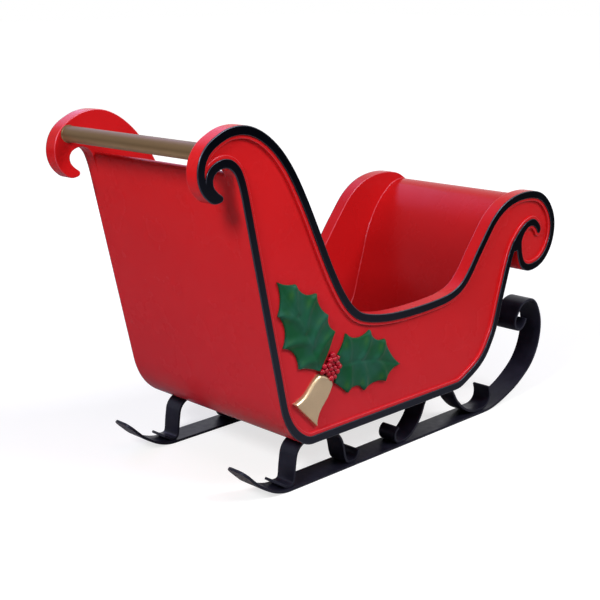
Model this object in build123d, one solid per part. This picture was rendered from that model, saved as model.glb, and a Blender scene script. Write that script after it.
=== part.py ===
from build123d import *
from math import cos, radians, sin, sqrt, tan
import os

# Child's display sleigh, millimetres. +X forward, +Y left, +Z up.
# Origin on the floor, under the middle of the sleigh.

# Overall width over the black border faces, and the layers of one side panel from inside to outside
BODY_WIDTH = 404.0
CORE_T = 21.0
RIM_T = 4.5
TRIM_T = 2.0
BORDER_W = 14.5
LEDGE_W = 5.5

# Underside of the body above the floor, and the flat part of that underside
BELLY_Z = 82.0
BELLY_REAR_X = -232.0
BELLY_FRONT_X = 158.0

# Lean of the back, measured from level
BACK_HEADING = 102.0

# Push bar in the eyes of the two rear scrolls: height, and how far it stands out behind the back
BAR_D = 28.0
BAR_Z = 598.5
BAR_REACH = 40.9
SOCKET_DEPTH = 8.0
SOCKET_CLEARANCE = 0.2

# Sheets between the side panels, and how far the back stops below the push bar
SHEET_T = 12.0
BACK_DROP = 43.0

# Bench
SEAT_TOP_Z = 230.0
SEAT_T = 18.0
SEAT_FRONT_X = -45.0
RISER_SETBACK = 15.0
RISER_T = 12.0

# Flat-bar runners and struts; the runners lie this far inside the border faces
RUNNER_W = 50.0
RUNNER_T = 5.0
RUNNER_INSET = 18.5
TAIL_CORNER_R = 16.0
STRUT_W = 40.0
STRUT_T = 5.0

# Holly and bell relief on the side faces
LEAF_T = 5.0
BELL_T = 9.0
BERRY_R = 4.5
BERRY_H = 4.5
BERRY_SIDES = 8
BERRY_TAPER = 28.0

HALF_WIDTH = BODY_WIDTH / 2
FIELD_Y = HALF_WIDTH - TRIM_T - RIM_T
LAND_Y = HALF_WIDTH - TRIM_T
INNER_Y = FIELD_Y - CORE_T
RUNNER_Y = HALF_WIDTH - RUNNER_INSET - RUNNER_W / 2
STRUT_FOOT_Z = RUNNER_T + STRUT_T

# Curves are rows of x, z and heading in degrees, joined by tangent arcs.
# Heading 0 is forward, 90 is up.

# Rear scroll of a side panel, from the tip of the hook round to the top; x and z from the bar's middle
REAR_SCROLL = [
    (20.0, -69.5, 270),
    (15.0, -75.0, 195),
    (4.0, -76.5, 175),
    (-17.0, -63.5, 133),
    (-30.0, -29.5, 90),
    (-15.5, 8.5, 48),
    (17.5, 30.0, 24),
    (55.0, 37.5, 0),
]

# Notch between the back and the hook, from the bar's middle, and the drop from it to the straight back
NOTCH_DROP = 80.5
NOTCH = [
    (47.0, -42.5, 112),
    (24.0, -24.5, 180),
    (0.5, -42.5, 270),
    (15.0, -63.0, 328),
]

# Upper edge of a side panel: sweep down, arm and front scroll
UPPER_EDGE = [
    (-325.0, 614.0, -36),
    (-261.0, 539.0, -60),
    (-216.0, 451.0, -65),
    (-168.0, 355.0, -60),
    (-123.0, 298.0, -38),
    (-79.0, 281.0, -12),
    (16.0, 272.5, 0),
    (112.0, 276.5, 6),
    (176.0, 303.0, 46),
    (219.0, 357.0, 51),
    (279.0, 420.0, 33),
    (368.0, 444.0, 0),
    (436.0, 425.0, -38),
    (471.0, 360.0, -90),
    (441.0, 296.0, -141),
    (391.0, 279.5, -180),
    (353.0, 299.0, -240),
    (342.3, 338.0, -267),
]

# Front edge of a side panel, from the throat of the front scroll down
FRONT_EDGE = [
    (340.0, 339.0, 237),
    (327.0, 314.5, 248),
    (304.0, 248.0, 251),
    (284.0, 184.0, 250),
    (260.0, 140.0, 236),
    (210.0, 100.0, 205),
    (BELLY_FRONT_X, BELLY_Z, 180),
]

# Rear edge of a side panel, from the underside up to where the back ends
REAR_EDGE = [
    (BELLY_REAR_X, BELLY_Z, 180),
    (-274.0, 102.0, 137),
    (-308.0, 165.0, BACK_HEADING),
]

# Tapered end of the border inside the front scroll: outer side, then the inner side back
FLOURISH_OUTER = [
    (316.0, 327.0, 60),
    (338.0, 357.0, 47),
    (390.0, 385.5, 4),
    (414.5, 373.0, -48),
    (420.5, 361.0, -80),
    (418.6, 355.5, -110),
]
FLOURISH_INNER = [
    (412.0, 355.0, 118),
    (388.0, 372.0, 180),
    (364.0, 359.0, 228),
    (355.0, 328.0, 268),
]

# Dash sheet, its front face from the floor up and round the roll
DASH_ROLL = [
    (332.0, 331.0, 64),
    (365.0, 380.5, 46),
    (425.0, 412.0, 0),
    (459.0, 360.0, -90),
    (433.5, 305.5, -141),
    (391.0, 291.5, -180),
    (374.5, 295.2, -205),
]

# Runner sole, tail to the end of the front curl
RUNNER_PATH = [
    (-376.0, 62.0, -46),
    (-346.5, 33.0, -43),
    (-318.5, 14.0, -30),
    (-268.0, 0.0, 0),
    (276.0, 0.0, 0),
    (338.0, 11.5, 19),
    (400.0, 39.0, 32),
    (443.0, 75.0, 53),
    (466.0, 145.0, 90),
    (450.0, 194.0, 123),
    (420.0, 212.0, 180),
    (383.0, 195.0, 238),
    (370.0, 170.0, 270),
    (388.0, 149.0, 360),
    (413.0, 171.0, 438),
]

# Struts: the face against the body and its run down to the free end
REAR_STRUT = [
    (-198.0, BELLY_Z, 180),
    (-222.0, BELLY_Z, 180),
    (-254.0, 56.0, 260),
    (-258.5, 22.0, 266),
    (-265.0, STRUT_FOOT_Z, 180),
    (-267.5, STRUT_FOOT_Z, 180),
    (-288.0, 20.0, 150),
]
SECOND_STRUT = [
    (-194.0, BELLY_Z, 0),
    (-172.0, BELLY_Z, 0),
    (-136.0, 57.0, -62),
    (-128.0, 30.0, -80),
    (-114.0, STRUT_FOOT_Z, 0),
    (-108.0, STRUT_FOOT_Z, 0),
    (-96.0, 25.0, 95),
]
THIRD_STRUT = [
    (130.0, BELLY_Z, 180),
    (110.0, BELLY_Z, 180),
    (85.0, 57.0, 250),
    (72.0, 35.0, 230),
    (30.0, STRUT_FOOT_Z, 180),
    (22.0, STRUT_FOOT_Z, 180),
    (10.0, 22.0, 90),
    (19.0, 33.0, 10),
]
FRONT_STRUT = [
    (136.0, BELLY_Z, 0),
    (156.0, BELLY_Z, 0),
    (187.0, 58.0, -62),
    (208.0, 33.0, -42),
    (262.0, STRUT_FOOT_Z, 0),
    (272.0, STRUT_FOOT_Z, 0),
    (298.0, 30.0, 88),
    (294.0, 48.0, 112),
]

# Strut name, the side of the heading on which its bar lies, and its rows
STRUTS = [
    ("rear", "left", REAR_STRUT),
    ("second", "right", SECOND_STRUT),
    ("third", "left", THIRD_STRUT),
    ("front", "right", FRONT_STRUT),
]

# Leaf points in order: x, z, and the hollow of the edge to the next point as a share of its length
UPPER_LEAF = [
    (-309.5, 379.0, 0.06),
    (-269.0, 368.5, 0.17),
    (-222.0, 344.5, 0.12),
    (-194.5, 303.0, 0.17),
    (-178.0, 271.0, -0.05),
    (-215.0, 208.0, 0.05),
    (-262.0, 222.0, 0.18),
    (-297.5, 265.5, 0.19),
    (-308.5, 322.0, 0.12),
]
LOWER_LEAF = [
    (-149.5, 260.0, 0.18),
    (-88.5, 254.0, 0.19),
    (-49.0, 229.0, 0.07),
    (-7.0, 173.0, 0.13),
    (-46.5, 149.0, 0.13),
    (-103.0, 146.0, 0.24),
    (-145.5, 152.0, 0.03),
    (-178.5, 178.0, 0.09),
    (-169.0, 227.0, 0.08),
]

# Leaf name and its points
LEAVES = [
    ("upper", UPPER_LEAF),
    ("lower", LOWER_LEAF),
]

# Berry places, x and z, between the leaves and the bell
BERRIES = [
    (-181.5, 227.5), (-190.5, 221.5), (-174.5, 220.0), (-199.5, 217.0), (-183.0, 215.5),
    (-174.5, 210.5), (-192.0, 211.0), (-201.0, 206.5), (-183.0, 205.0), (-191.5, 200.5),
    (-175.5, 200.0), (-183.0, 194.5), (-180.5, 185.0),
]

# Bell: the right side from the crown down to the mouth, then the left side from the mouth up, as rows
# of x, z and heading
BELL_RIGHT = [
    (-219.0, 201.5, 20),
    (-203.0, 197.5, -30),
    (-185.5, 179.0, -82),
    (-194.5, 159.0, -126),
    (-214.5, 136.0, -118),
    (-222.5, 109.5, -103),
]
BELL_LEFT = [
    (-276.5, 163.5, 18),
    (-250.0, 175.5, 38),
    (-233.0, 192.0, 45),
    (-219.0, 201.5, 20),
]


def turn(degrees):
    return Vector(cos(radians(degrees)), sin(radians(degrees)))


def left_of(direction):
    return Vector(-direction.Y, direction.X)


def tangent_arcs(rows):
    """Split each pair of rows into two arcs that share a tangent, or into one straight line."""
    pieces = []
    for (x0, z0, a0), (x1, z1, a1) in zip(rows, rows[1:]):
        start, end = Vector(x0, z0), Vector(x1, z1)
        t0, t1 = turn(a0), turn(a1)
        span = end - start
        if abs(left_of(t0).dot(span)) < 1e-6 and abs(left_of(t0).dot(t1)) < 1e-6:
            pieces.append((start, t0, end, t1))
            continue
        along = span.dot(t0 + t1)
        spread = 2 * (1 - t0.dot(t1))
        if spread < 1e-9:
            reach = span.dot(span) / (2 * along)
        else:
            reach = (sqrt(along**2 + spread * span.dot(span)) - along) / spread
        middle = (start + end + (t0 - t1) * reach) * 0.5
        shared = ((end - t1 * reach) - (start + t0 * reach)).normalized()
        pieces.append((start, t0, middle, shared))
        pieces.append((middle, shared, end, t1))
    return pieces


def edges_of(pieces, shift=0.0):
    """Edges of the arcs, moved sideways by shift, left of the heading."""
    edges = []
    for start, t0, end, t1 in pieces:
        p = start + left_of(t0) * shift
        q = end + left_of(t1) * shift
        if abs(left_of(t0).dot((q - p).normalized())) < 1e-5:
            edges.append(Line(p, q))
        else:
            edges.append(TangentArc(p, q, tangent=t0))
    return edges


def face_of(edges):
    return make_face(edges)


def sheet_face(rows, side, thickness, rounded_end=False):
    """Flat strip of one thickness along the rows, on one side of them."""
    pieces = tangent_arcs(rows)
    shift = thickness if side == "left" else -thickness
    near = edges_of(pieces)
    far = edges_of(pieces, shift)
    first_cap = Line(near[0] @ 0, far[0] @ 0)
    if rounded_end:
        last_cap = TangentArc(near[-1] @ 1, far[-1] @ 1, tangent=pieces[-1][3])
    else:
        last_cap = Line(near[-1] @ 1, far[-1] @ 1)
    return face_of(near + [last_cap] + far + [first_cap])


def upright(face, y_from, y_to):
    """Stand a face drawn in x and z upright and give it depth from one y to the other."""
    return extrude(Plane.XZ.offset(-y_from) * face, amount=y_from - y_to)


def back_x(z, inset=0.0):
    """Place of the back's rear face, or of a plane that far inside it, at a height."""
    x0, z0, heading = REAR_EDGE[-1]
    inward = Vector(sin(radians(heading)), -cos(radians(heading)))
    base = Vector(x0, z0) + inward * inset
    return base.X + (z - base.Y) / tan(radians(heading))


def from_bar(rows):
    """Rows measured from the push bar's middle, put in their place."""
    return [(BAR_X + x, BAR_Z + z, heading) for x, z, heading in rows]


def panel_outline():
    scroll = from_bar(REAR_SCROLL)
    back_end_z = BAR_Z - NOTCH_DROP
    back_end = (back_x(back_end_z), back_end_z, BACK_HEADING)
    rows = scroll + UPPER_EDGE + FRONT_EDGE + REAR_EDGE + [back_end] + from_bar(NOTCH) + scroll[:1]
    return face_of(edges_of(tangent_arcs(rows)))


def flourish_face():
    outer = edges_of(tangent_arcs(FLOURISH_OUTER))
    inner = edges_of(tangent_arcs(FLOURISH_INNER))
    tip = TangentArc(outer[-1] @ 1, inner[0] @ 0, tangent=turn(FLOURISH_OUTER[-1][2]))
    root = Line(inner[-1] @ 1, outer[0] @ 0)
    return face_of(outer + [tip] + inner + [root])


def leaf_face(points):
    edges = []
    for (x0, z0, hollow), (x1, z1, _) in zip(points, points[1:] + points[:1]):
        p, q = Vector(x0, z0), Vector(x1, z1)
        edges.append(ThreePointArc(p, (p + q) * 0.5 - left_of(q - p) * hollow, q))
    return face_of(edges)


def bell_face():
    right = edges_of(tangent_arcs(BELL_RIGHT))
    left = edges_of(tangent_arcs(BELL_LEFT))
    return face_of(right + [Line(right[-1] @ 1, left[0] @ 0)] + left)


def berry_cluster():
    """Small faceted buttons that stand on the field."""
    button = extrude(RegularPolygon(BERRY_R, BERRY_SIDES), amount=BERRY_H, taper=BERRY_TAPER)
    return Part() + [Plane.XZ.offset(FIELD_Y) * Pos(x, z) * button for x, z in BERRIES]


def write(name, shape):
    export_step(shape, "parts/" + name + ".step")


def write_pair(name, right_piece):
    """Write the piece of the right side and its mirror on the left."""
    write(name + "_right", right_piece)
    write(name + "_left", mirror(right_piece, about=Plane.XZ))


os.makedirs("parts", exist_ok=True)
BAR_X = back_x(BAR_Z) - BAR_REACH

# Side panels with a raised rim round the recessed face, and the black border on the rim
outline = panel_outline()
border_inside = offset(outline, -BORDER_W)
pocket = offset(outline, -(BORDER_W + LEDGE_W))
flourish = flourish_face()
flourish_base = offset(flourish, LEDGE_W)
socket_face = Pos(BAR_X, BAR_Z) * Circle(BAR_D / 2 + SOCKET_CLEARANCE)
panel = upright(outline, -INNER_Y, -LAND_Y)
panel -= upright(pocket, -FIELD_Y, -LAND_Y)
panel += upright(flourish_base & outline, -FIELD_Y, -LAND_Y)
panel -= upright(socket_face, -INNER_Y, -INNER_Y - SOCKET_DEPTH)
write_pair("side_panel", panel)
border = (outline - border_inside) + flourish
write_pair("edge_trim", upright(border, -LAND_Y, -HALF_WIDTH))

# Back, floor and dash between the panels
back_top_z = BAR_Z - BACK_DROP
back_rows = REAR_EDGE + [(back_x(back_top_z), back_top_z, BACK_HEADING)]
back = sheet_face(back_rows, "right", SHEET_T, rounded_end=True)
write("back_panel", upright(back, -INNER_Y, INNER_Y))
floor_rows = [(BELLY_REAR_X, BELLY_Z, 0), (BELLY_FRONT_X, BELLY_Z, 0)]
write("floor_panel", upright(sheet_face(floor_rows, "left", SHEET_T), -INNER_Y, INNER_Y))
front_up = [(x, z, heading - 180) for x, z, heading in reversed(FRONT_EDGE[2:])]
dash = sheet_face(front_up + DASH_ROLL, "left", SHEET_T, rounded_end=True)
write("dash_panel", upright(dash, -INNER_Y, INNER_Y))

# Bench between the panels: board against the back, and the board that holds its front edge
seat_low_z = SEAT_TOP_Z - SEAT_T
seat = Polyline(
    (back_x(seat_low_z, SHEET_T), seat_low_z),
    (SEAT_FRONT_X, seat_low_z),
    (SEAT_FRONT_X, SEAT_TOP_Z),
    (back_x(SEAT_TOP_Z, SHEET_T), SEAT_TOP_Z),
    close=True,
)
write("seat_board", upright(face_of(seat.edges()), -INNER_Y, INNER_Y))
riser_x = SEAT_FRONT_X - RISER_SETBACK
riser_rows = [(riser_x, BELLY_Z + SHEET_T, 90), (riser_x, seat_low_z, 90)]
write("seat_riser", upright(sheet_face(riser_rows, "left", RISER_T), -INNER_Y, INNER_Y))

# Push bar, let into a socket in each panel
bar_half = INNER_Y + SOCKET_DEPTH
bar = Plane.XZ * Pos(BAR_X, BAR_Z, 0) * Cylinder(BAR_D / 2, 2 * bar_half)
write("push_bar", bar)

# Runners with rounded tails, and the scrolled struts that stand on them
runner_face = sheet_face(RUNNER_PATH, "left", RUNNER_T)
runner = upright(runner_face, -RUNNER_Y + RUNNER_W / 2, -RUNNER_Y - RUNNER_W / 2)
tail_end = runner.faces().sort_by(Axis.X)[0]
tail_corners = tail_end.edges().filter_by(Axis.Y, reverse=True)
write_pair("runner", fillet(tail_corners, TAIL_CORNER_R))
for name, side, rows in STRUTS:
    strut = sheet_face(rows, side, STRUT_T)
    write_pair("strut_" + name, upright(strut, -RUNNER_Y + STRUT_W / 2, -RUNNER_Y - STRUT_W / 2))

# Holly leaves, berries and bell on the recessed faces
for name, points in LEAVES:
    write_pair("leaf_" + name, upright(leaf_face(points), -FIELD_Y, -FIELD_Y - LEAF_T))
write_pair("berries", berry_cluster())
write_pair("bell", upright(bell_face(), -FIELD_Y, -FIELD_Y - BELL_T))
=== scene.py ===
import math
import random

import bmesh
import bpy
from mathutils import Matrix, Vector, geometry
from mathutils.bvhtree import BVHTree


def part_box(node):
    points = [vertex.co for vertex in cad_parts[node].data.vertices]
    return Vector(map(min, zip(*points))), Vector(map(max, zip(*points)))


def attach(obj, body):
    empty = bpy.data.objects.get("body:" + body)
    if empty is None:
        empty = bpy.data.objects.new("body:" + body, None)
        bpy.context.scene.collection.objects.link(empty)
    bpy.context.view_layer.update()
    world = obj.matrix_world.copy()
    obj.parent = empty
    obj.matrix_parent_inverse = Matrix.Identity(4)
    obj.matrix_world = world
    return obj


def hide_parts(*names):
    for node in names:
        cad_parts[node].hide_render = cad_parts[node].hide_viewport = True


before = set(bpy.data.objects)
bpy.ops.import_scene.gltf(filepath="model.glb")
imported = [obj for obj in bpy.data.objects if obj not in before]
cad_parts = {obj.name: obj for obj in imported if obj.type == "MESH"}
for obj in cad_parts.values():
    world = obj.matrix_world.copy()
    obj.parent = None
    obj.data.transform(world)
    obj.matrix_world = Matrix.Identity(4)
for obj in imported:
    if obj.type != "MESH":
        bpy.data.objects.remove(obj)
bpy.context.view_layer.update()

# Lengths in metres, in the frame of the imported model: +X forward, +Y left, +Z up
MM = 0.001

# Camera of the photograph: place, heading from +X towards +Y, tilt down, and roll
CAMERA_PLACE = Vector((-1.5559, -1.5226, 0.8297))
CAMERA_HEADING = math.radians(45.606)
CAMERA_TILT = math.radians(14.783)
CAMERA_ROLL = math.radians(-0.418)
FOCAL_PIXELS = 1170.3
IMAGE_PIXELS = 600.0
SENSOR_MM = 36.0

# The two sides of the sleigh: name and sign of y
SIDES = (("right", -1.0), ("left", 1.0))
STRUT_NAMES = ("rear", "second", "third", "front")

# Levels of a side panel, outwards from the middle of the sleigh
BORDER_FACE_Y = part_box("edge_trim_left")[1][1]
LAND_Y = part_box("side_panel_left")[1][1]
INNER_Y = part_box("side_panel_left")[0][1]
FIELD_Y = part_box("leaf_upper_left")[0][1]
CORE_MIDDLE_Y = (INNER_Y + FIELD_Y) / 2
LEVEL_TOLERANCE = 0.05 * MM

# Points of a CAD mesh closer than this are joined, and edges that bend by less than this are dissolved
MERGE_GAP = 0.01 * MM
FLAT_ANGLE = math.radians(0.4)

# Edges that bend by more than this are rounded, with these radii
SHARP_ANGLE = math.radians(35)
PANEL_EDGE_R = 1.6 * MM
LAND_EDGE_R = 0.9 * MM
FIELD_EDGE_R = 0.6 * MM
BORDER_OUTER_R = 1.5 * MM
BORDER_INNER_R = 0.8 * MM
SEAT_EDGE_R = 3.0 * MM
DASH_EDGE_R = 2.4 * MM
IRON_EDGE_R = 0.9 * MM

# Bead of paint beside the dash: its radius and how far it stands off the panel
BEAD_R = 1.3 * MM
BEAD_STAND_OFF = 0.3 * MM

# Collar of the push bar in millimetres: radius past the bar's, and reach from the panel
COLLAR_PROFILE = [(-0.3, 2.6), (0.5, 2.2), (1.1, 1.0), (1.2, 0.0), (-0.3, 0.0)]
COLLAR_STEPS = 48

# How far an edge must be from the body's sheets, or from a panel's outline, to count as free
SHEET_CLEAR = 3.5 * MM

# Paint colours, linear, with the tint of the paint's reflections last
RED = (0.53, 0.0092, 0.0112)
RED_DEEP = (0.48, 0.0076, 0.0094)
# Painted sheen: a bluish, slightly darker red that stands for the pale floor's reflection on the low outer
# paint
RED_LOW_SHEEN = (0.48, 0.021, 0.031)
# Painted shade: darker red for the inside of the body, full low down and a quarter strong higher up
RED_SHADE = (0.315, 0.0054, 0.0066)
BLACK = (0.0007, 0.0009, 0.0019)
# Painted sheen: a bluish grey that stands for the floor's reflection on the low black border
BLACK_LOW_SHEEN = (0.0150, 0.0160, 0.0235)
IRON = (0.0060, 0.0058, 0.0108)
BAR_GOLD = (0.265, 0.168, 0.088)
LEAF_DARK = (0.0052, 0.062, 0.022)
LEAF_TEAL = (0.0125, 0.074, 0.045)
LEAF_YELLOW = (0.040, 0.115, 0.012)
BERRY_RED = (0.40, 0.005, 0.019)
BELL_GOLD = (0.60, 0.440, 0.272)
COOL = (0.70, 0.74, 1.0, 1.0)

# Heights over the underside of the push bar between which its gold turns darker
BAR_SHADE_RISE = (8.0 * MM, 14.0 * MM)

# Floor: half its width, grey for bounced light, grey for the camera, and its glow near the sleigh,
# which rises to white between two distances
FLOOR_HALF = 30.0
FLOOR_BOUNCE = 0.48
FLOOR_SHADOW = 0.35
FLOOR_GLOW = 0.72
GLOW_NEAR = 0.4
GLOW_FAR = 3.0

# Even light of the room, and the lamps: name, heading and height in degrees, distance and size in metres,
# power in watts, and colour
ROOM_LIGHT = 0.03
LAMPS = [
    ("key", -163.0, 34.5, 3.2, 0.8, 78.0, (1.0, 1.0, 1.0)),
    ("side", -66.0, 43.0, 6.0, 3.0, 288.0, (1.0, 1.0, 1.0)),
    ("high", -115.0, 52.0, 3.2, 1.0, 12.0, (1.0, 1.0, 1.0)),
    ("far", 80.0, 38.0, 3.2, 2.4, 30.0, (0.54, 0.48, 1.0)),
]
LAMP_AIM = Vector((0.0, 0.0, 0.3))

# Holly leaves in millimetres: edge points x, z with the hollow of the edge to the next point as a share of
# its length; the midrib from tip to base; and the veins as edge point number, midrib place and bend
UPPER_LEAF = [
    (-309.5, 379.0, 0.06), (-269.3, 368.4, 0.17), (-222.0, 344.6, 0.12), (-194.5, 302.9, 0.17),
    (-177.9, 270.8, -0.05), (-214.8, 207.0, 0.05), (-262.1, 222.0, 0.18), (-297.7, 265.6, 0.19),
    (-308.6, 322.2, 0.12),
]
UPPER_MIDRIB = [
    (-305.0, 371.0), (-281.3, 337.2), (-257.7, 302.2), (-243.2, 277.4), (-231.0, 249.1), (-218.6, 213.0),
]
UPPER_VEINS = [
    (1, 0.30, 4.0), (2, 0.52, 7.0), (3, 0.74, 7.0), (4, 0.90, 5.0), (6, 0.92, -5.0), (7, 0.72, -7.0),
    (8, 0.48, -6.0),
]
LOWER_LEAF = [
    (-149.5, 260.0, 0.18), (-88.6, 254.0, 0.19), (-49.2, 229.1, 0.07), (-7.3, 173.0, 0.13),
    (-46.7, 149.2, 0.13), (-102.8, 146.1, 0.24), (-145.7, 152.0, 0.02), (-178.3, 178.0, 0.09),
    (-169.2, 227.2, 0.08),
]
LOWER_MIDRIB = [
    (-11.0, 174.5), (-32.4, 181.2), (-61.0, 191.7), (-89.0, 200.1), (-116.5, 204.4), (-143.3, 206.8),
    (-168.0, 206.0),
]
LOWER_VEINS = [
    (2, 0.42, -5.0), (1, 0.66, -6.0), (0, 0.86, -5.0), (4, 0.42, 5.0), (5, 0.66, 6.0), (6, 0.84, 4.0),
]

# Heights and widths of the leaf relief over the panel face, in millimetres
LEAF_EDGE_H = 4.4
LEAF_SWELL = 1.0
SWELL_W = 9.0
LEAF_LIP = 1.2
LIP_SHARE = 0.8
LIP_GAP = 0.2
RELIEF_EASE = 5.0
VEIN_H = 3.0
VEIN_W = 7.4
MIDRIB_DEPTH = 1.0
MIDRIB_W = 3.2
SPIKE_LIFT = 1.2
SPIKE_W = 9.0
LEAF_GRID = 2.2
VEIN_STEPS = 12

# Yellow spots beside the veins: place along the vein, shift and width in millimetres, and strength
YELLOW_PLACE = 0.72
YELLOW_SHIFT = Vector((-4.0, -2.0))
YELLOW_W = 8.0
YELLOW_SHARE = 0.75

# Loops moved inwards: least share that limits the move at a sharp point, and the share of the distance
# below which a moved point is gathered at a tip
SHARP_POINT_SHARE = 0.45
GATHER_SHARE = 0.96

# Bell outline in millimetres, from the left end of the mouth over the crown to the right end, and its
# profile: how far in from the outline and how high
BELL_OUTLINE = [
    (-276.5, 163.5), (-264.0, 168.0), (-250.0, 175.6), (-237.5, 187.5), (-228.0, 196.5), (-217.0, 202.0),
    (-203.0, 197.5), (-190.0, 188.8), (-185.2, 181.0), (-186.2, 173.5), (-192.6, 162.2), (-201.6, 151.2),
    (-210.6, 141.8), (-217.2, 132.3), (-221.4, 121.0), (-222.5, 109.5),
]
BELL_PROFILE = [
    (0.0, 0.0), (0.0, 2.2), (0.15, 3.4), (0.55, 4.8), (1.2, 6.1), (2.1, 7.2), (3.2, 8.0), (4.5, 8.6),
]
BELL_CROWN_H = 9.2
BELL_FACE_RINGS = (0.8, 0.55, 0.3)
BELL_STEPS = 4
MOUTH_STEPS = 12

# Berry cluster in millimetres: its outline, the spacing and radius of the berries, their heights and
# scatter, and the least and greatest share of the radius
BERRY_FIELD = [
    (-182.0, 233.0), (-168.0, 222.0), (-168.0, 205.0), (-175.0, 183.0), (-184.0, 182.0), (-199.0, 197.0),
    (-214.0, 207.0), (-211.0, 215.0), (-198.0, 224.0),
]
BERRY_PITCH = 9.4
BERRY_R = 5.3
BERRY_LOW = 4.0
BERRY_SPREAD = 3.0
BERRY_SCATTER = 1.0
BERRY_SIZES = (0.9, 1.12)
BERRY_SEED = 11


class Nodes:
    """Short way to add nodes to one material and join them."""

    def __init__(self, name):
        self.material = bpy.data.materials.new(name)
        self.material.use_nodes = True
        self.tree = self.material.node_tree
        self.shader = self.tree.nodes["Principled BSDF"]

    def add(self, kind, values=None, **properties):
        node = self.tree.nodes.new(kind)
        for key, value in properties.items():
            setattr(node, key, value)
        for key, value in (values or {}).items():
            node.inputs[key].default_value = value
        return node

    def link(self, source, target):
        self.tree.links.new(source, target)

    def place(self, stretch=(1, 1, 1)):
        """Object coordinates, stretched along the axes."""
        coordinates = self.add("ShaderNodeTexCoord")
        mapping = self.add("ShaderNodeMapping", {"Scale": stretch})
        self.link(coordinates.outputs["Object"], mapping.inputs["Vector"])
        return mapping.outputs["Vector"]

    def noise(self, scale, detail=3.0, stretch=(1, 1, 1), roughness=0.5):
        noise = self.add("ShaderNodeTexNoise", {"Scale": scale, "Detail": detail, "Roughness": roughness})
        self.link(self.place(stretch), noise.inputs["Vector"])
        return noise.outputs["Fac"]

    def ramp(self, factor, *stops):
        """Colour or grey by factor: stops are pairs of place and colour."""
        ramp = self.add("ShaderNodeValToRGB")
        elements = ramp.color_ramp.elements
        while len(elements) < len(stops):
            elements.new(0.5)
        for element, (place, colour) in zip(elements, stops):
            element.position = place
            element.color = (*colour, 1.0) if isinstance(colour, tuple) else (colour, colour, colour, 1.0)
        self.link(factor, ramp.inputs["Fac"])
        return ramp.outputs["Color"]

    def mix(self, factor, first, second):
        mix = self.add("ShaderNodeMix", data_type="RGBA")
        self.link(factor, mix.inputs["Factor"])
        for socket, colour in ((mix.inputs["A"], first), (mix.inputs["B"], second)):
            if isinstance(colour, tuple):
                socket.default_value = (*colour, 1.0)
            else:
                self.link(colour, socket)
        return mix.outputs["Result"]

    def by_height(self, low, high, low_value, high_value, lean=0.0):
        """Value that changes with the height over the floor; the lean counts forward places as higher."""
        height = self.add("ShaderNodeVectorMath", {1: (lean, 0.0, 1.0)}, operation="DOT_PRODUCT")
        self.link(self.place(), height.inputs[0])
        span = self.add("ShaderNodeMapRange", {"From Min": low, "From Max": high,
                                               "To Min": low_value, "To Max": high_value})
        self.link(height.outputs["Value"], span.inputs["Value"])
        return span.outputs["Result"]

    def bump(self, height, strength, distance):
        bump = self.add("ShaderNodeBump", {"Strength": strength, "Distance": distance})
        self.link(height, bump.inputs["Height"])
        self.link(bump.outputs["Normal"], self.shader.inputs["Normal"])

    def set(self, **values):
        for key, value in values.items():
            self.shader.inputs[key.replace("_", " ")].default_value = value

    def colour(self, socket):
        self.link(socket, self.shader.inputs["Base Color"])

    def rough(self, socket):
        self.link(socket, self.shader.inputs["Roughness"])


def darker(colour, share):
    return tuple(share * c for c in colour)


def red_paint(name, low_colour, low, high, low_share, high_share, lean, shine):
    """Satin red paint that takes on another colour low down, as painted light: painted sheen on the
    outside, painted shade inside.
    """
    paint = Nodes(name)
    cloud = paint.noise(5.0, detail=4.0)
    own_colour = paint.ramp(cloud, (0.30, RED_DEEP), (0.70, RED))
    # Painted light: the low colour is mixed in by height
    paint.colour(paint.mix(paint.by_height(low, high, low_share, high_share, lean), own_colour, low_colour))
    paint.rough(paint.ramp(paint.noise(14.0, detail=5.0), (0.3, 0.22), (0.7, 0.30)))
    paint.bump(paint.noise(260.0, detail=2.0), 0.06, 0.4 * MM)
    paint.set(Specular_IOR_Level=shine, Specular_Tint=COOL)
    return paint.material


def glossy_edge(name, colour):
    """Paint that pooled along a rounded edge, smoother and brighter than the flat paint beside it."""
    paint = Nodes(name)
    paint.colour(paint.ramp(paint.noise(40.0), (0.3, darker(colour, 0.85)), (0.7, colour)))
    paint.rough(paint.ramp(paint.noise(90.0), (0.3, 0.28), (0.7, 0.36)))
    paint.set(Specular_IOR_Level=0.8, Specular_Tint=COOL)
    return paint.material


def black_paint():
    paint = Nodes("black_border_paint")
    own_colour = paint.ramp(paint.noise(30.0), (0.3, BLACK), (0.7, darker(BLACK, 1.6)))
    # Painted sheen low down on the black border, more of it towards the rear
    paint.colour(paint.mix(paint.by_height(0.12, 0.44, 1.0, 0.0, lean=0.4), own_colour, BLACK_LOW_SHEEN))
    paint.rough(paint.ramp(paint.noise(60.0), (0.3, 0.18), (0.7, 0.26)))
    paint.bump(paint.noise(420.0, detail=2.0), 0.08, 0.3 * MM)
    paint.set(Specular_IOR_Level=0.02, Specular_Tint=COOL)
    return paint.material


def black_iron():
    paint = Nodes("black_iron_paint")
    paint.colour(paint.ramp(paint.noise(40.0), (0.3, IRON), (0.7, darker(IRON, 1.7))))
    paint.rough(paint.ramp(paint.noise(90.0, detail=4.0), (0.3, 0.32), (0.7, 0.44)))
    paint.bump(paint.noise(170.0, detail=4.0), 0.22, 0.5 * MM)
    paint.set(Specular_IOR_Level=0.16, Specular_Tint=COOL)
    return paint.material


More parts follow.
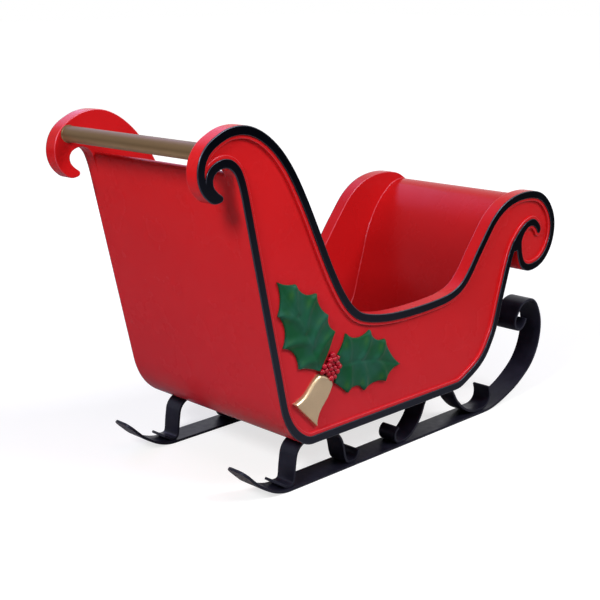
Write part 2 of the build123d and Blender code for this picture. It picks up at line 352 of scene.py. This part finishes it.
def bar_gold():
    paint = Nodes("bar_gold_paint")
    streaks = paint.noise(60.0, detail=4.0, stretch=(1, 0.12, 1))
    own_colour = paint.ramp(streaks, (0.3, darker(BAR_GOLD, 0.85)), (0.7, BAR_GOLD))
    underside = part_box("push_bar")[0][2]
    shade_from, shade_to = (underside + rise for rise in BAR_SHADE_RISE)
    shade = paint.by_height(shade_from, shade_to, 0.0, 1.0)
    paint.colour(paint.mix(shade, own_colour, darker(BAR_GOLD, 0.50)))
    paint.rough(paint.ramp(streaks, (0.3, 0.38), (0.7, 0.48)))
    paint.bump(streaks, 0.15, 0.3 * MM)
    paint.set(Metallic=0.4, Specular_IOR_Level=0.05)
    return paint.material


def leaf_green():
    paint = Nodes("holly_green_paint")
    blend = paint.ramp(paint.noise(26.0, detail=2.0), (0.40, 0.0), (0.62, 1.0))
    broad = paint.mix(blend, LEAF_DARK, LEAF_TEAL)
    spot = paint.add("ShaderNodeAttribute", attribute_name="yellow")
    paint.colour(paint.mix(spot.outputs["Fac"], broad, LEAF_YELLOW))
    paint.rough(paint.ramp(paint.noise(80.0), (0.3, 0.36), (0.7, 0.46)))
    paint.bump(paint.noise(300.0, detail=3.0), 0.06, 0.4 * MM)
    paint.set(Specular_IOR_Level=0.10, Specular_Tint=COOL)
    return paint.material


def berry_red():
    paint = Nodes("berry_red_paint")
    paint.colour(paint.ramp(paint.noise(120.0), (0.3, darker(BERRY_RED, 0.6)), (0.7, BERRY_RED)))
    paint.rough(paint.ramp(paint.noise(200.0), (0.3, 0.06), (0.7, 0.12)))
    paint.set(Specular_IOR_Level=0.22)
    return paint.material


def bell_gold():
    paint = Nodes("bell_gold_paint")
    cloud = paint.noise(40.0, detail=4.0)
    paint.colour(paint.ramp(cloud, (0.3, darker(BELL_GOLD, 0.88)), (0.7, BELL_GOLD)))
    paint.rough(paint.ramp(paint.noise(25.0), (0.3, 0.22), (0.7, 0.27)))
    paint.set(Metallic=0.8, Coat_Weight=0.5, Coat_Roughness=0.14)
    return paint.material


def new_object(name, mesh, materials):
    for material in materials:
        mesh.materials.append(material)
    piece = bpy.data.objects.new(name, mesh)
    bpy.context.scene.collection.objects.link(piece)
    return piece


def smooth_shading(work, sharp_degrees):
    for face in work.faces:
        face.smooth = True
    for edge in work.edges:
        edge.smooth = edge.calc_face_angle(0.0) < math.radians(sharp_degrees)


def stand_for(piece, node):
    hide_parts(node)
    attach(piece, "root")


def rounded_copy(node, materials, roundings):
    """Copy of a CAD node with some edges rounded, which stands for the node.

    Each rounding is a test on the edge's two ends, a radius, a number of segments and a material's number.
    """
    work = bmesh.new()
    work.from_mesh(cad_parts[node].data)
    bmesh.ops.remove_doubles(work, verts=work.verts, dist=MERGE_GAP)
    bmesh.ops.dissolve_limit(work, angle_limit=FLAT_ANGLE, verts=work.verts, edges=work.edges)
    for face in work.faces:
        face.material_index = 0
    for test, radius, segments, number in roundings:
        edges = [e for e in work.edges if len(e.link_faces) == 2
                 and e.calc_face_angle(0.0) > SHARP_ANGLE
                 and test(e.verts[0].co, e.verts[1].co)]
        bmesh.ops.bevel(work, geom=edges, offset=radius, offset_type="OFFSET", segments=segments,
                        profile=0.5, affect="EDGES", clamp_overlap=False, material=number)
    smooth_shading(work, 32)
    mesh = bpy.data.meshes.new(node + "_rounded")
    work.to_mesh(mesh)
    work.free()
    piece = new_object(node + "_rounded", mesh, materials)
    even = piece.modifiers.new("even_normals", "WEIGHTED_NORMAL")
    even.keep_sharp = True
    stand_for(piece, node)


def at_level(level):
    """Test for edges that lie at one distance from the middle of the sleigh."""
    return lambda a, b: max(abs(abs(a.y) - level), abs(abs(b.y) - level)) < LEVEL_TOLERANCE


def any_edge(a, b):
    return True


def surface_of(node):
    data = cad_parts[node].data
    return BVHTree.FromPolygons([v.co for v in data.vertices], [p.vertices for p in data.polygons])


def gap_to(surface, point):
    return surface.find_nearest(point)[3]


def on_outline_test():
    """Test for edges on the outer outline of a side panel, whatever their distance from the middle."""
    wall = surface_of("side_panel_left")

    def test(a, b, near=0.1 * MM):
        ends = (Vector((co.x, CORE_MIDDLE_Y, co.z)) for co in (a, b))
        return max(gap_to(wall, end) for end in ends) < near

    return test


def free_edge_test():
    """Test for inner edges of a side panel that no sheet of the body lies against."""
    sheets = [surface_of(node) for node in ("back_panel", "floor_panel", "dash_panel")]

    def test(a, b):
        return min(gap_to(sheet, (a + b) / 2) for sheet in sheets) > SHEET_CLEAR

    return test


def dress_body(red, shaded_inside_red, black, red_edge, black_edge):
    """Side panels and border with rounded edges, and the seat, dash, back and floor."""
    on_outline = on_outline_test()
    is_free = free_edge_test()
    inner, land, face = at_level(INNER_Y), at_level(LAND_Y), at_level(BORDER_FACE_Y)
    for side, _ in SIDES:
        rounded_copy("side_panel_" + side, [red, red_edge], [
            (lambda a, b: inner(a, b) and is_free(a, b), PANEL_EDGE_R, 4, 1),
            (lambda a, b: land(a, b) and not on_outline(a, b), LAND_EDGE_R, 3, 1),
            (at_level(FIELD_Y), FIELD_EDGE_R, 2, 0),
        ])
        rounded_copy("edge_trim_" + side, [black, black_edge], [
            (lambda a, b: face(a, b) and on_outline(a, b), BORDER_OUTER_R, 4, 1),
            (lambda a, b: face(a, b) and not on_outline(a, b), BORDER_INNER_R, 3, 1),
        ])
    rounded_copy("seat_board", [shaded_inside_red], [(any_edge, SEAT_EDGE_R, 3, 0)])
    rounded_copy("dash_panel", [shaded_inside_red, red_edge], [
        (lambda a, b: inner(a, b) and not on_outline(a, b, SHEET_CLEAR), DASH_EDGE_R, 4, 1),
    ])
    dress_plain("back_panel", red)
    for node in ("floor_panel", "seat_riser"):
        dress_plain(node, shaded_inside_red)


def dress_iron(iron):
    for side, _ in SIDES:
        for node in ["runner_" + side] + ["strut_" + name + "_" + side for name in STRUT_NAMES]:
            rounded_copy(node, [iron], [(any_edge, IRON_EDGE_R, 2, 0)])


def dress_plain(node, material):
    """Give a CAD node that keeps its shape its material."""
    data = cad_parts[node].data
    data.materials.clear()
    data.materials.append(material)


def make_collars(gold):
    """Thin ring of gold paint round each end of the push bar, where it enters the side panels."""
    low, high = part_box("push_bar")
    x, z = (low[0] + high[0]) / 2, (low[2] + high[2]) / 2
    bar_r = (high[0] - low[0]) / 2
    turns = [2 * math.pi * k / COLLAR_STEPS for k in range(COLLAR_STEPS)]
    for side, sign in SIDES:
        work = bmesh.new()
        rings = []
        for past, reach in COLLAR_PROFILE:
            radius = bar_r + past * MM
            y = sign * (INNER_Y - reach * MM)
            ring = [(x + radius * math.cos(t), y, z + radius * math.sin(t)) for t in turns]
            rings.append([work.verts.new(place) for place in ring])
        for inner, outer in zip(rings, rings[1:] + rings[:1]):
            for k in range(COLLAR_STEPS):
                work.faces.new((inner[k], inner[k - 1], outer[k - 1], outer[k]))
        bmesh.ops.recalc_face_normals(work, faces=work.faces)
        smooth_shading(work, 60)
        mesh = bpy.data.meshes.new("bar_collar_" + side)
        work.to_mesh(mesh)
        work.free()
        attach(new_object("bar_collar_" + side, mesh, [gold]), "root")


def chains_of(edges):
    """Joined edges as chains of points, each from one end to the other."""
    links = {}
    for edge in edges:
        first, second = edge.verts
        links.setdefault(first, []).append(second)
        links.setdefault(second, []).append(first)
    used = set()
    chains = []
    for end in [vert for vert in links if len(links[vert]) == 1]:
        chain = []
        follow = [] if end in used else [end]
        while follow:
            chain.append(follow[0])
            used.add(follow[0])
            follow = [vert for vert in links[chain[-1]] if vert not in used]
        if chain:
            chains.append([vert.co.copy() for vert in chain])
    return chains


def make_dash_bead(paint):
    """Thin bead of paint in the corner between the dash and each side panel."""
    on_outline = on_outline_test()
    inner = at_level(INNER_Y)
    work = bmesh.new()
    work.from_mesh(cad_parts["dash_panel"].data)
    bmesh.ops.remove_doubles(work, verts=work.verts, dist=MERGE_GAP)
    for side, sign in SIDES:
        seam = [e for e in work.edges
                if e.calc_face_angle(0.0) > SHARP_ANGLE
                and min(sign * e.verts[0].co.y, sign * e.verts[1].co.y) > 0
                and inner(e.verts[0].co, e.verts[1].co)
                and not on_outline(e.verts[0].co, e.verts[1].co, SHEET_CLEAR)]
        curve = bpy.data.curves.new("dash_bead_" + side, "CURVE")
        curve.dimensions = "3D"
        curve.bevel_depth = BEAD_R
        curve.bevel_resolution = 2
        curve.use_fill_caps = True
        cabin_seam = min(chains_of(seam), key=lambda chain: min(place.z for place in chain))
        spline = curve.splines.new("POLY")
        spline.points.add(len(cabin_seam) - 1)
        for point, place in zip(spline.points, cabin_seam):
            point.co = (place.x, place.y - sign * BEAD_STAND_OFF, place.z, 1.0)
        sketch = bpy.data.objects.new("dash_bead_sketch", curve)
        mesh = bpy.data.meshes.new_from_object(sketch)
        mesh.name = "dash_bead_" + side
        bpy.data.objects.remove(sketch)
        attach(new_object("dash_bead_" + side, mesh, [paint]), "root")
    work.free()


def relief_mesh(name, sign, points, faces):
    """Closed mesh on the face of a side panel from points x, height and z in millimetres."""
    work = bmesh.new()
    verts = [work.verts.new((x * MM, sign * (FIELD_Y + height * MM), z * MM)) for x, height, z in points]
    for face in faces:
        work.faces.new([verts[i] for i in face])
    bmesh.ops.remove_doubles(work, verts=work.verts, dist=0.001 * MM)
    bmesh.ops.recalc_face_normals(work, faces=work.faces)
    smooth_shading(work, 50)
    mesh = bpy.data.meshes.new(name)
    work.to_mesh(mesh)
    work.free()
    return mesh


def bent_line(start, end, bend, steps):
    """Points from start up to end, bowed to the left of the way by a length."""
    way = end - start
    middle = (start + end) / 2 + Vector((-way.y, way.x)).normalized() * 2 * bend
    shares = [i / steps for i in range(steps)]
    return [start * (1 - t) ** 2 + middle * 2 * t * (1 - t) + end * t * t for t in shares]


def leaf_outline(rows):
    points = []
    for (x, z, hollow), (next_x, next_z, after) in zip(rows, rows[1:] + rows[:1]):
        start, end = Vector((x, z)), Vector((next_x, next_z))
        length = (end - start).length
        points += bent_line(start, end, -hollow * length, max(6, round(length / LEAF_GRID)))
    return points


def inset(outline, distance):
    """The same clockwise loop moved inwards, with the move limited at sharp points."""
    moved = []
    count = len(outline)
    for i, point in enumerate(outline):
        before = (point - outline[i - 1]).normalized()
        after = (outline[(i + 1) % count] - point).normalized()
        normal = Vector((before.y + after.y, -before.x - after.x))
        share = max(normal.length / 2, SHARP_POINT_SHARE)
        moved.append(point + normal.normalized() * distance / share)
    return moved


def gathered_inset(outline, distance, tips):
    """The loop moved inwards, with points that would cross near a tip gathered at the moved tip."""
    moved = inset(outline, distance)
    closed = outline + outline[:1]
    for i, point in enumerate(moved):
        if gap_to_line(point, closed) < GATHER_SHARE * distance:
            near = min(tips, key=lambda tip: (outline[tip] - outline[i]).length)
            moved[i] = moved[near].copy()
    return moved


def gap_to_line(point, line):
    """Distance from a point to a chain of points."""
    best = math.inf
    for a, b in zip(line, line[1:]):
        way = b - a
        share = min(1.0, max(0.0, (point - a).dot(way) / way.length_squared))
        best = min(best, (point - a - way * share).length_squared)
    return math.sqrt(best)


def is_inside(point, loop):
    inside = False
    for a, b in zip(loop, loop[1:] + loop[:1]):
        if (a.y > point.y) != (b.y > point.y):
            if point.x < a.x + (point.y - a.y) / (b.y - a.y) * (b.x - a.x):
                inside = not inside
    return inside


def along(line, share):
    """Point at a share of the way along a chain of points, counted in points."""
    place = share * (len(line) - 1)
    i = min(int(place), len(line) - 2)
    return line[i].lerp(line[i + 1], place - i)


def grid_inside(loop, pitch):
    """Points of a staggered grid that lie inside a loop."""
    low_x, high_x = min(p.x for p in loop), max(p.x for p in loop)
    low_y, high_y = min(p.y for p in loop), max(p.y for p in loop)
    points = []
    row_pitch = pitch * math.sqrt(3) / 2
    for row in range(int((high_y - low_y) / row_pitch) + 1):
        shift = pitch / 2 if row % 2 else 0.0
        for column in range(int((high_x - low_x) / pitch) + 1):
            point = Vector((low_x + shift + column * pitch, low_y + row * row_pitch))
            if is_inside(point, loop):
                points.append(point)
    return points


def bell_curve(gap, width):
    return math.exp(-((gap / width) ** 2))


def leaf_shape(rows, midrib_rows, vein_rows):
    """Points, faces and yellow shares of one leaf: wall, lip, raised veins and a sunk midrib."""
    outline = leaf_outline(rows)
    lip = inset(outline, LEAF_LIP)
    midrib = [Vector(p) for p in midrib_rows]
    spikes = [Vector(row[:2]) for row in rows]
    veins = [bent_line(along(midrib, share), spikes[i], bend, VEIN_STEPS) + [spikes[i]]
             for i, share, bend in vein_rows]
    spots = [along(vein, YELLOW_PLACE) + YELLOW_SHIFT for vein in veins]
    closed = outline + outline[:1]
    inner = [p for p in grid_inside(lip, LEAF_GRID) if gap_to_line(p, lip + lip[:1]) > 0.4 * LEAF_GRID]
    count = len(outline)
    loops = [[start + i for i in range(count)] for start in (0, count)]
    edges = [(i, j) for loop in loops for i, j in zip(loop, loop[1:] + loop[:1])]
    flat, _, triangles, *_ = geometry.delaunay_2d_cdt(outline + lip + inner, edges, [loops[0]], 1, 1e-6)
    points, yellow = [], []
    for p in flat:
        edge_gap = gap_to_line(p, closed)
        ease = min(1.0, edge_gap / RELIEF_EASE)
        height = LEAF_EDGE_H * (LIP_SHARE if edge_gap < LIP_GAP else 1.0)
        height += LEAF_SWELL * (1 - bell_curve(edge_gap, SWELL_W))
        ridge = max(bell_curve(gap_to_line(p, vein), VEIN_W) for vein in veins)
        groove = bell_curve(gap_to_line(p, midrib), MIDRIB_W)
        height += ease * (VEIN_H * ridge - MIDRIB_DEPTH * groove)
        height += SPIKE_LIFT * max(bell_curve((p - spike).length, SPIKE_W) for spike in spikes)
        points.append((p.x, height, p.y))
        near = max(bell_curve((p - spot).length, YELLOW_W) for spot in spots)
        yellow.append(YELLOW_SHARE * near * (1 - ridge) * ease)
    base = len(points)
    rim = edge_loop(triangles)
    points += [(flat[i].x, 0.0, flat[i].y) for i in rim]
    faces = [tuple(t) for t in triangles]
    for k in range(len(rim)):
        after = (k + 1) % len(rim)
        faces.append((rim[k], rim[after], base + after, base + k))
    faces.append(tuple(base + k for k in range(len(rim))))
    yellow += [0.0] * len(rim)
    return points, faces, yellow


def edge_loop(triangles):
    """Outer loop of a sheet of triangles, as point numbers in order."""
    sides = {(t[i], t[(i + 1) % 3]) for t in triangles for i in range(3)}
    follow = {a: b for a, b in sides if (b, a) not in sides}
    first = next(iter(sorted(follow)))
    loop = [first]
    while follow[loop[-1]] != first:
        loop.append(follow[loop[-1]])
    return loop


def make_leaves(green):
    for name, rows, midrib, veins in (("leaf_upper", UPPER_LEAF, UPPER_MIDRIB, UPPER_VEINS),
                                      ("leaf_lower", LOWER_LEAF, LOWER_MIDRIB, LOWER_VEINS)):
        points, faces, yellow = leaf_shape(rows, midrib, veins)
        for side, sign in SIDES:
            piece_name = name + "_relief_" + side
            mesh = relief_mesh(piece_name, sign, points, faces)
            attribute = mesh.attributes.new("yellow", "FLOAT", "POINT")
            for i, share in enumerate(yellow):
                attribute.data[i].value = share
            stand_for(new_object(piece_name, mesh, [green]), name + "_" + side)


def smooth_chain(points, steps):
    """Smooth line through the points, ends included."""
    padded = [points[0] * 2 - points[1]] + points + [points[-1] * 2 - points[-2]]
    line = []
    for p0, p1, p2, p3 in zip(padded, padded[1:], padded[2:], padded[3:]):
        for step in range(steps):
            t = step / steps
            line.append((p1 * 2 + (p2 - p0) * t + (p0 * 2 - p1 * 5 + p2 * 4 - p3) * t * t
                         + (p1 * 3 - p0 - p2 * 3 + p3) * t ** 3) / 2)
    return line + [points[-1]]


def make_bells(gold):
    """Bell with a low straight wall, a rounded shoulder and a slightly crowned face."""
    sides = smooth_chain([Vector(p) for p in BELL_OUTLINE], BELL_STEPS)
    mouth = [sides[-1].lerp(sides[0], k / MOUTH_STEPS) for k in range(1, MOUTH_STEPS)]
    outline = sides + mouth
    count = len(outline)
    middle = sum(outline, Vector((0.0, 0.0))) / count
    tips = (0, len(sides) - 1)
    rings = [(gathered_inset(outline, far_in, tips), height) for far_in, height in BELL_PROFILE]
    face_ring, face_height = rings[-1]
    for share in BELL_FACE_RINGS:
        rings.append(([middle.lerp(p, share) for p in face_ring],
                      BELL_CROWN_H + (face_height - BELL_CROWN_H) * share ** 2))
    points = [(p.x, height, p.y) for ring, height in rings for p in ring]
    points.append((middle.x, BELL_CROWN_H, middle.y))
    faces = [tuple(range(count))]
    for level in range(len(rings) - 1):
        low, high = level * count, (level + 1) * count
        for k in range(count):
            after = (k + 1) % count
            faces.append((low + k, low + after, high + after, high + k))
    top = (len(rings) - 1) * count
    faces += [(top + k, top + (k + 1) % count, len(points) - 1) for k in range(count)]
    for side, sign in SIDES:
        mesh = relief_mesh("bell_relief_" + side, sign, points, faces)
        stand_for(new_object("bell_relief_" + side, mesh, [gold]), "bell_" + side)


def make_berries(berry):
    """Small balls heaped between the leaves and the bell."""
    for side, sign in SIDES:
        chance = random.Random(BERRY_SEED)
        field = [Vector(p) for p in BERRY_FIELD]
        work = bmesh.new()
        for place in grid_inside(field, BERRY_PITCH):
            x = place.x + chance.uniform(-BERRY_SCATTER, BERRY_SCATTER)
            z = place.y + chance.uniform(-BERRY_SCATTER, BERRY_SCATTER)
            height = BERRY_LOW + chance.uniform(0.0, BERRY_SPREAD)
            radius = BERRY_R * chance.uniform(*BERRY_SIZES)
            middle = Vector((x * MM, sign * (FIELD_Y + height * MM), z * MM))
            bmesh.ops.create_icosphere(work, subdivisions=3, radius=radius * MM,
                                       matrix=Matrix.Translation(middle))
        smooth_shading(work, 180)
        mesh = bpy.data.meshes.new("berries_relief_" + side)
        work.to_mesh(mesh)
        work.free()
        stand_for(new_object("berries_relief_" + side, mesh, [berry]), "berries_" + side)


def make_camera():
    """Put the camera where the photograph was taken from."""
    ahead = Vector((math.cos(CAMERA_HEADING), math.sin(CAMERA_HEADING), 0.0))
    right = Vector((math.sin(CAMERA_HEADING), -math.cos(CAMERA_HEADING), 0.0))
    look = ahead * math.cos(CAMERA_TILT) - Vector((0, 0, math.sin(CAMERA_TILT)))
    up = ahead * math.sin(CAMERA_TILT) + Vector((0, 0, math.cos(CAMERA_TILT)))
    c, s = math.cos(CAMERA_ROLL), math.sin(CAMERA_ROLL)
    rolled_right = right * c + up * s
    rolled_up = up * c - right * s
    data = bpy.data.cameras.new("photo_camera")
    data.sensor_width = SENSOR_MM
    data.lens = FOCAL_PIXELS * SENSOR_MM / IMAGE_PIXELS
    camera = bpy.data.objects.new("photo_camera", data)
    bpy.context.scene.collection.objects.link(camera)
    turn = Matrix((rolled_right, rolled_up, -look)).transposed()
    camera.matrix_world = Matrix.Translation(CAMERA_PLACE) @ turn.to_4x4()
    bpy.context.scene.camera = camera


def make_floor():
    """White floor that keeps a soft shadow and shows white to the camera."""
    mesh = bpy.data.meshes.new("floor")
    far = FLOOR_HALF
    corners = [(-far, -far, 0), (far, -far, 0), (far, far, 0), (-far, far, 0)]
    mesh.from_pydata(corners, [], [(0, 1, 2, 3)])
    floor = bpy.data.objects.new("floor", mesh)
    bpy.context.scene.collection.objects.link(floor)
    paint = Nodes("white_floor")
    paint.set(Roughness=0.9, Specular_IOR_Level=0.0, Emission_Color=(1.0, 1.0, 1.0, 1.0))
    seen = paint.add("ShaderNodeLightPath").outputs["Is Camera Ray"]
    grey = paint.add("ShaderNodeMapRange", {"To Min": FLOOR_BOUNCE, "To Max": FLOOR_SHADOW})
    paint.link(seen, grey.inputs["Value"])
    paint.colour(grey.outputs["Result"])
    reach = paint.add("ShaderNodeVectorMath", operation="LENGTH")
    paint.link(paint.place(), reach.inputs["Vector"])
    glow = paint.add("ShaderNodeMapRange", {"From Min": GLOW_NEAR, "From Max": GLOW_FAR,
                                            "To Min": FLOOR_GLOW, "To Max": 1.0},
                     interpolation_type="SMOOTHSTEP")
    paint.link(reach.outputs["Value"], glow.inputs["Value"])
    shown = paint.add("ShaderNodeMath", operation="MULTIPLY")
    paint.link(glow.outputs["Result"], shown.inputs[0])
    paint.link(seen, shown.inputs[1])
    paint.link(shown.outputs["Value"], paint.shader.inputs["Emission Strength"])
    mesh.materials.append(paint.material)


def make_light(name, heading, height, far, size, power, colour):
    """Round lamp some way from the sleigh, at a heading from +X towards +Y and a height."""
    around, up = math.radians(heading), math.radians(height)
    away = Vector((math.cos(around) * math.cos(up), math.sin(around) * math.cos(up), math.sin(up)))
    place = LAMP_AIM + far * away
    data = bpy.data.lights.new(name, "AREA")
    data.shape = "DISK"
    data.size = size
    data.energy = power
    data.color = colour
    light = bpy.data.objects.new(name, data)
    bpy.context.scene.collection.objects.link(light)
    direction = LAMP_AIM - place
    light.matrix_world = Matrix.Translation(place) @ direction.to_track_quat("-Z", "Y").to_matrix().to_4x4()


def make_world():
    """Even grey light; white where the camera, a reflection or a see-through surface looks at it."""
    world = bpy.data.worlds.new("studio")
    bpy.context.scene.world = world
    world.use_nodes = True
    tree = world.node_tree
    background = tree.nodes["Background"]
    light_path = tree.nodes.new("ShaderNodeLightPath")
    seen = tree.nodes.new("ShaderNodeMath")
    seen.operation = "MAXIMUM"
    tree.links.new(light_path.outputs["Is Camera Ray"], seen.inputs[0])
    also = tree.nodes.new("ShaderNodeMath")
    also.operation = "MAXIMUM"
    tree.links.new(light_path.outputs["Is Glossy Ray"], also.inputs[0])
    tree.links.new(light_path.outputs["Is Transmission Ray"], also.inputs[1])
    tree.links.new(also.outputs["Value"], seen.inputs[1])
    strength = tree.nodes.new("ShaderNodeMapRange")
    strength.inputs["To Min"].default_value = ROOM_LIGHT
    strength.inputs["To Max"].default_value = 1.0
    tree.links.new(seen.outputs["Value"], strength.inputs["Value"])
    tree.links.new(strength.outputs["Result"], background.inputs["Strength"])
    background.inputs["Color"].default_value = (1.0, 1.0, 1.0, 1.0)


black = black_paint()
red_edge = glossy_edge("red_edge_paint", RED)
# Outer red with painted sheen low down, more of it towards the rear
outside_red = red_paint("red_paint", RED_LOW_SHEEN, low=0.05, high=0.36, low_share=0.75, high_share=0.0,
                        lean=0.4, shine=0.08)
# Inside red is a shaded copy of the red: painted shade, a quarter strong everywhere and full low down
shaded_inside_red = red_paint("red_inside_painted_shade", RED_SHADE, low=0.16, high=0.40, low_share=1.0, high_share=0.25,
                       lean=0.0, shine=0.12)
dress_body(outside_red, shaded_inside_red, black, red_edge, glossy_edge("black_edge_paint", BLACK))
make_dash_bead(red_edge)
dress_iron(black_iron())
gold = bar_gold()
dress_plain("push_bar", gold)
make_collars(gold)
make_leaves(leaf_green())
make_bells(bell_gold())
make_berries(berry_red())
make_camera()
make_floor()
make_world()
for lamp in LAMPS:
    make_light(*lamp)
bpy.context.scene.view_settings.view_transform = "Standard"
